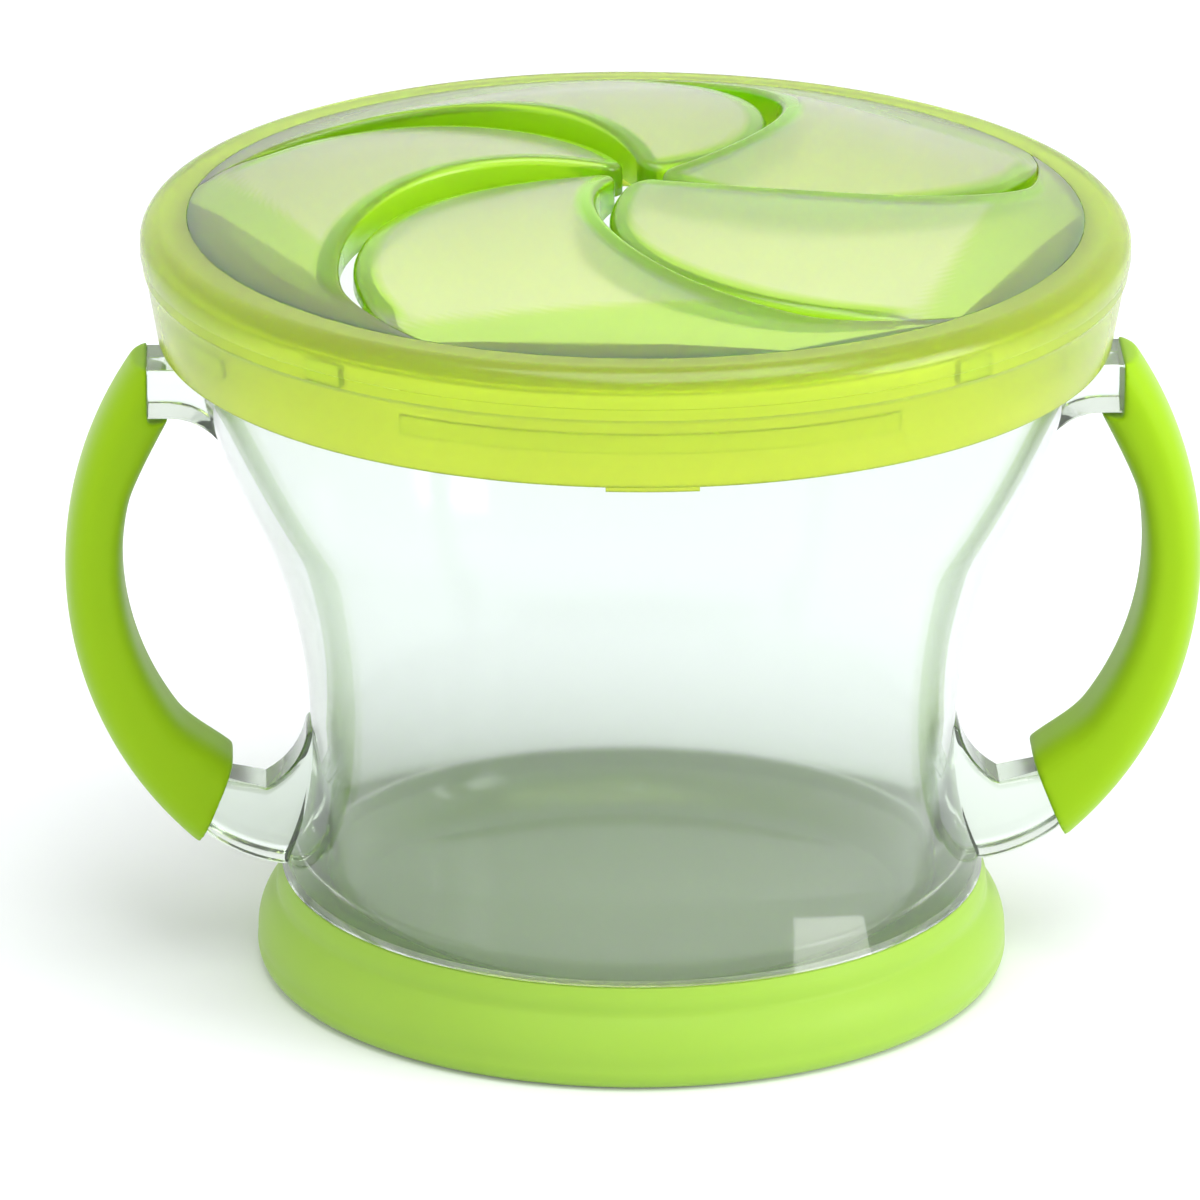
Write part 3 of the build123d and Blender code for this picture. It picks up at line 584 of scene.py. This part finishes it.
SLOT_CLOSES = 39.5              # the slots narrow from here outwards
THIN_MILK = (0.86, 0.92, 0.60)
# painted light: the flaps' walls get this deeper green, standing in for light carried a long way through
# the thick plastic
PAINTED_WALL_GREEN = (0.50, 0.84, 0.03)


def slot_turn(radius, grow, order):
    """Direction, from the flap's own line, at which a slot's circle grown by grow passes radius."""
    centre = -STEP / 2 + 90 - SLOT_LEAN + STEP * order
    reach = (radius ** 2 + ARC ** 2 - (ARC + grow) ** 2) / (2 * radius * ARC)
    return centre - math.degrees(math.acos(min(max(reach, -1), 1)))


def centre_of(order):
    """Centre of a slot's circle in the flap's frame."""
    turn = math.radians(-STEP / 2 + 90 - SLOT_LEAN + STEP * order)
    return Vector((ARC * math.cos(turn), ARC * math.sin(turn)))


# the rounded tip's centre is where it touches both slots, found by halving the span that holds it
low = 2.0
high = 12.0
for _ in range(50):
    middle = (low + high) / 2
    if slot_turn(middle, -SLOT_GAP / 2 - TIP_ROUND, 0) < slot_turn(middle, SLOT_GAP / 2 + TIP_ROUND, 1):
        high = middle
    else:
        low = middle
TIP_RADIUS = middle
TIP_TURN = slot_turn(TIP_RADIUS, -SLOT_GAP / 2 - TIP_ROUND, 0)
TIP = Vector((math.cos(math.radians(TIP_TURN)), math.sin(math.radians(TIP_TURN)))) * TIP_RADIUS
APEX = TIP_RADIUS - TIP_ROUND


def half_gap(radius):
    """Half the slot's width: it closes towards its outer end."""
    return SHUT + (SLOT_GAP / 2 - SHUT) * (1 - rise(radius, SLOT_CLOSES, SLOT_END))


def tip_turn(radius, inset):
    """Half the angle that the rounded tip takes at radius."""
    inner = max(TIP_ROUND - inset, SHUT)
    reach = (radius ** 2 + TIP_RADIUS ** 2 - inner ** 2) / (2 * radius * TIP_RADIUS)
    return math.degrees(math.acos(min(max(reach, -1), 1)))


def edge_turn(radius, inset, order):
    """Direction of the flap's edge at radius, drawn in by inset; order 0 is the lower edge."""
    side = -1 if order == 0 else 1
    gap = half_gap(radius)
    meet = centre_of(order) + (TIP - centre_of(order)).normalized() * (ARC + side * (gap + inset))
    if radius < meet.length:
        return TIP_TURN + side * tip_turn(radius, inset)
    return slot_turn(radius, side * (gap + inset), order)


def dome(n, t):
    """Height of the flap's and border's upper face at n outwards and t along the bending line."""
    radius = math.hypot(n, t)
    crown = CROWN_TOP - (n - CROWN_AT[0]) ** 2 / CROWN_FALL[0] - (t - CROWN_AT[1]) ** 2 / CROWN_FALL[1]
    border = RING_TOP + BORDER_RISE * (RING_OPENING - radius) / (RING_OPENING - HINGE)
    share = rise(radius, 34, 43)
    return crown * (1 - share) + border * share


def wall_foot(radius):
    """Height of the lower end of the turned-down walls."""
    return WALL_FOOT - WALL_FOOT_FALL * (radius / SLOT_END) ** 2


# rows are close together round the tip, where the outline turns fastest
row_radii = [APEX + s for s in (0, 0.02, 0.09, 0.2, 0.36, 0.56, 0.8, 1.1, 1.45, 1.8)]
row_radii += [APEX + 2.06, APEX + 2.12, APEX + 2.5, APEX + 3.0]
ROW_STEP = 0.55
reach = row_radii[-1]
while reach < PANEL_RADIUS - 0.6:
    reach += ROW_STEP
    row_radii.append(reach)
row_radii[-1] = PANEL_RADIUS
SOLID_TIP = 2.08                # the walls of both sides meet this far in
ROUND_STEPS = 6
INSIDE_STEPS = 26


def section(radius):
    """The closed outline of a flap across its slots at radius, as (turn, height) pairs."""
    fade = 1 - rise(radius, 40, SLOT_END)
    soft = 0.12 + 0.68 * fade
    low_wall, high_wall = (WALL_OUTER + (wide - WALL_OUTER) * fade for wide in (WALL_LOW, WALL_HIGH))

    def point(turn, drop):
        a = math.radians(turn)
        return (turn, dome(radius * math.cos(a), radius * math.sin(a)) - drop)

    def lowered(inset):
        near = min(inset, radius - APEX)
        if near >= soft:
            return 0.0
        return soft - math.sqrt(max(soft ** 2 - (soft - near) ** 2, 0))

    def between(inset_0, inset_1, drop):
        low_turn = edge_turn(radius, inset_0, 0)
        high_turn = edge_turn(radius, inset_1, 1)
        if radius <= APEX + max(inset_0, inset_1) + 1e-6 or high_turn < low_turn:
            low_turn = high_turn = TIP_TURN
        span = high_turn - low_turn
        return [point(low_turn + span * k / INSIDE_STEPS, drop) for k in range(INSIDE_STEPS + 1)]

    foot = wall_foot(radius)
    ring = []
    for k in range(ROUND_STEPS):
        inset = soft * (1 - math.cos(math.pi / 2 * k / ROUND_STEPS))
        turn = edge_turn(radius, inset, 0) if radius > APEX + inset else TIP_TURN
        ring.append(point(turn, lowered(inset)))
    ring += [(turn, z - lowered(soft)) for turn, z in between(soft, soft, 0)]
    for k in range(ROUND_STEPS - 1, -1, -1):
        inset = soft * (1 - math.cos(math.pi / 2 * k / ROUND_STEPS))
        turn = edge_turn(radius, inset, 1) if radius > APEX + inset else TIP_TURN
        ring.append(point(turn, lowered(inset)))
    under = between(low_wall, high_wall, MEMBRANE)
    if radius <= APEX + SOLID_TIP:
        under = [(TIP_TURN, foot)] * (INSIDE_STEPS + 1)
    high_edge = ring[-1]
    low_edge = ring[0]
    foot_high = min(foot, under[-1][1])
    foot_low = min(foot, under[0][1])
    ring.append((high_edge[0], (high_edge[1] + foot_high) / 2))
    ring.append((high_edge[0], foot_high))
    ring.append((under[-1][0], foot_high))
    ring += under[::-1]
    ring.append((under[0][0], foot_low))
    ring.append((low_edge[0], foot_low))
    ring.append((low_edge[0], (low_edge[1] + foot_low) / 2))
    ring.append(low_edge)
    return ring


sections = [section(radius) for radius in row_radii]


def flap_point(column, row):
    """Point of the flap that points along X."""
    turn, height = sections[row][column]
    a = math.radians(turn)
    return (row_radii[row] * math.cos(a), row_radii[row] * math.sin(a), height)


flap = formed("flap", len(sections[0]) - 1, len(row_radii) - 1, flap_point)


def painted_green_share(spot):
    """How much of the painted deeper green a point of the flap gets, from 0 to 1: most at its walls, where
    it stands in for light carried a long way through them, less in the border.
    """
    radius = math.hypot(spot.x, spot.y) / MM
    turn = math.degrees(math.atan2(spot.y, spot.x))
    side = min(turn - edge_turn(radius, 0, 0), edge_turn(radius, 0, 1) - turn)
    inset = math.radians(side) * radius * math.sqrt(max(1 - (radius / 2 / ARC) ** 2, 0.05))
    wall = (1 - rise(min(inset, radius - APEX), 1.5, 2.5)) * (1 - rise(radius, 41, SLOT_END))
    border = 0.6 * rise(spot.x / MM, HINGE - 0.5, HINGE + 0.5)
    return max(wall, border)


painted_green_shares = flap.data.attributes.new("wall", "FLOAT", "POINT")
for vertex in flap.data.vertices:
    painted_green_shares.data[vertex.index].value = painted_green_share(vertex.co)
flap_plastic = green_plastic("soft_flap_plastic", 0.2, 520, (0.86, 0.99, 0), 0.78, THIN_MILK)
nodes = flap_plastic.node_tree.nodes
links = flap_plastic.node_tree.links
# painted light: the base colour runs from the milk colour to the deeper wall green by each point's wall
# share
share = nodes.new("ShaderNodeAttribute")
share.attribute_name = "wall"
thick = nodes.new("ShaderNodeMix")
thick.data_type = "RGBA"
thick.inputs[COLOR_A].default_value = (*THIN_MILK, 1)
thick.inputs[COLOR_B].default_value = (*PAINTED_WALL_GREEN, 1)
links.new(share.outputs["Fac"], thick.inputs[0])
links.new(thick.outputs[COLOR_MIXED], nodes["Principled BSDF"].inputs["Base Color"])
for k in range(FLAPS):
    turn = math.radians(SLOT_START + STEP / 2 + STEP * k)
    piece = copied(flap, f"swirl_flap_{k + 1}")
    edit(piece)
    bpy.ops.transform.rotate(value=-turn, orient_axis="Z", center_override=(0, 0, 0))
    bpy.ops.object.mode_set(mode="OBJECT")
    finish(piece, flap_plastic, None, "soft_lid", f"flap_{k + 1}", "flap_web")
    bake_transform(piece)
bpy.data.objects.remove(flap)

# ---- Floor, light and camera ------------------------------------------------------------------
# A plain white floor under soft studio light that comes mostly from the right, seen through a long
# lens from a little above.

FLOOR_GLOW = 0.1
WORLD_LIGHT = 0.72
WORLD_SEEN = 1.0


def seen_rays(tree):
    """A value that is 1 for rays that show what is behind and 0 for rays that only light the scene."""
    path = tree.nodes.new("ShaderNodeLightPath")
    total = path.outputs["Is Camera Ray"]
    for kind in ("Is Glossy Ray", "Is Transmission Ray"):
        either = tree.nodes.new("ShaderNodeMath")
        either.operation = "ADD"
        either.use_clamp = True
        tree.links.new(total, either.inputs[0])
        tree.links.new(path.outputs[kind], either.inputs[1])
        total = either.outputs[0]
    return total


bpy.ops.object.select_all(action="DESELECT")
bpy.ops.mesh.primitive_plane_add(size=6)
floor = bpy.context.object
floor.name = "floor"
white = bpy.data.materials.new("white_floor")
white.use_nodes = True
nodes = white.node_tree.nodes
links = white.node_tree.links
surface = nodes["Principled BSDF"]
surface.inputs["Base Color"].default_value = (0.86, 0.88, 0.91, 1)
surface.inputs["Roughness"].default_value = 0.6
surface.inputs["Specular IOR Level"].default_value = 0.1
surface.inputs["Emission Color"].default_value = (1, 1, 1, 1)
glow = nodes.new("ShaderNodeMath")
glow.operation = "MULTIPLY"
glow.inputs[1].default_value = FLOOR_GLOW
links.new(seen_rays(white.node_tree), glow.inputs[0])
links.new(glow.outputs[0], surface.inputs["Emission Strength"])
floor.data.materials.append(white)

world = bpy.data.worlds.new("studio")
bpy.context.scene.world = world
world.use_nodes = True
nodes = world.node_tree.nodes
links = world.node_tree.links
background = nodes["Background"]
background.inputs["Color"].default_value = (1, 1, 1, 1)
level = nodes.new("ShaderNodeMapRange")
level.inputs["To Min"].default_value = WORLD_LIGHT
level.inputs["To Max"].default_value = WORLD_SEEN
links.new(seen_rays(world.node_tree), level.inputs["Value"])
links.new(level.outputs["Result"], background.inputs["Strength"])


def lamp(name, place, aim, size, power, color):
    """A square area lamp at place that points at aim."""
    data = bpy.data.lights.new(name, "AREA")
    data.size = size
    data.energy = power
    data.color = color
    holder = bpy.data.objects.new(name, data)
    holder.location = place
    holder.rotation_euler = (Vector(aim) - Vector(place)).to_track_quat("-Z", "Y").to_euler()
    bpy.context.scene.collection.objects.link(holder)


lamp("overhead", place=(0.12, -0.25, 1.0), aim=(0, 0, 0.04), size=0.8, power=8, color=(1.0, 1.0, 1.0))
lamp("side", place=(0.9, -0.4, 0.35), aim=(0, 0, 0.05), size=0.5, power=4.5, color=(1.0, 1.0, 0.98))

VIEW_DOWN = math.radians(20.07)
VIEW_TURN = math.radians(-2.0)
VIEW_ROLL = math.radians(-0.28)
VIEW_DISTANCE = 1.1359
VIEW_SHIFT = (3.41 * MM, 1.43 * MM)
AIM = Vector((0, 0, 0.040))
SENSOR = 36
FOCAL_WIDTHS = 11126 / 1200     # focal length in widths of the picture
right = Vector((1, 0, 0))
up = Vector((0, math.sin(VIEW_DOWN), math.cos(VIEW_DOWN)))
back = Vector((0, -math.cos(VIEW_DOWN), math.sin(VIEW_DOWN)))
eye = AIM + back * VIEW_DISTANCE - right * VIEW_SHIFT[0] - up * VIEW_SHIFT[1]
across = right * math.cos(VIEW_ROLL) - up * math.sin(VIEW_ROLL)
above = right * math.sin(VIEW_ROLL) + up * math.cos(VIEW_ROLL)
lens = bpy.data.cameras.new("camera")
lens.sensor_width = SENSOR
lens.lens = SENSOR * FOCAL_WIDTHS
lens.clip_end = 20
camera = bpy.data.objects.new("camera", lens)
bpy.context.scene.collection.objects.link(camera)
pose = Matrix((across, above, back)).transposed().to_4x4()
pose.translation = eye
camera.matrix_world = Matrix.Rotation(VIEW_TURN, 4, "Z") @ pose
bpy.context.scene.camera = camera
bpy.context.scene.view_settings.view_transform = "Standard"
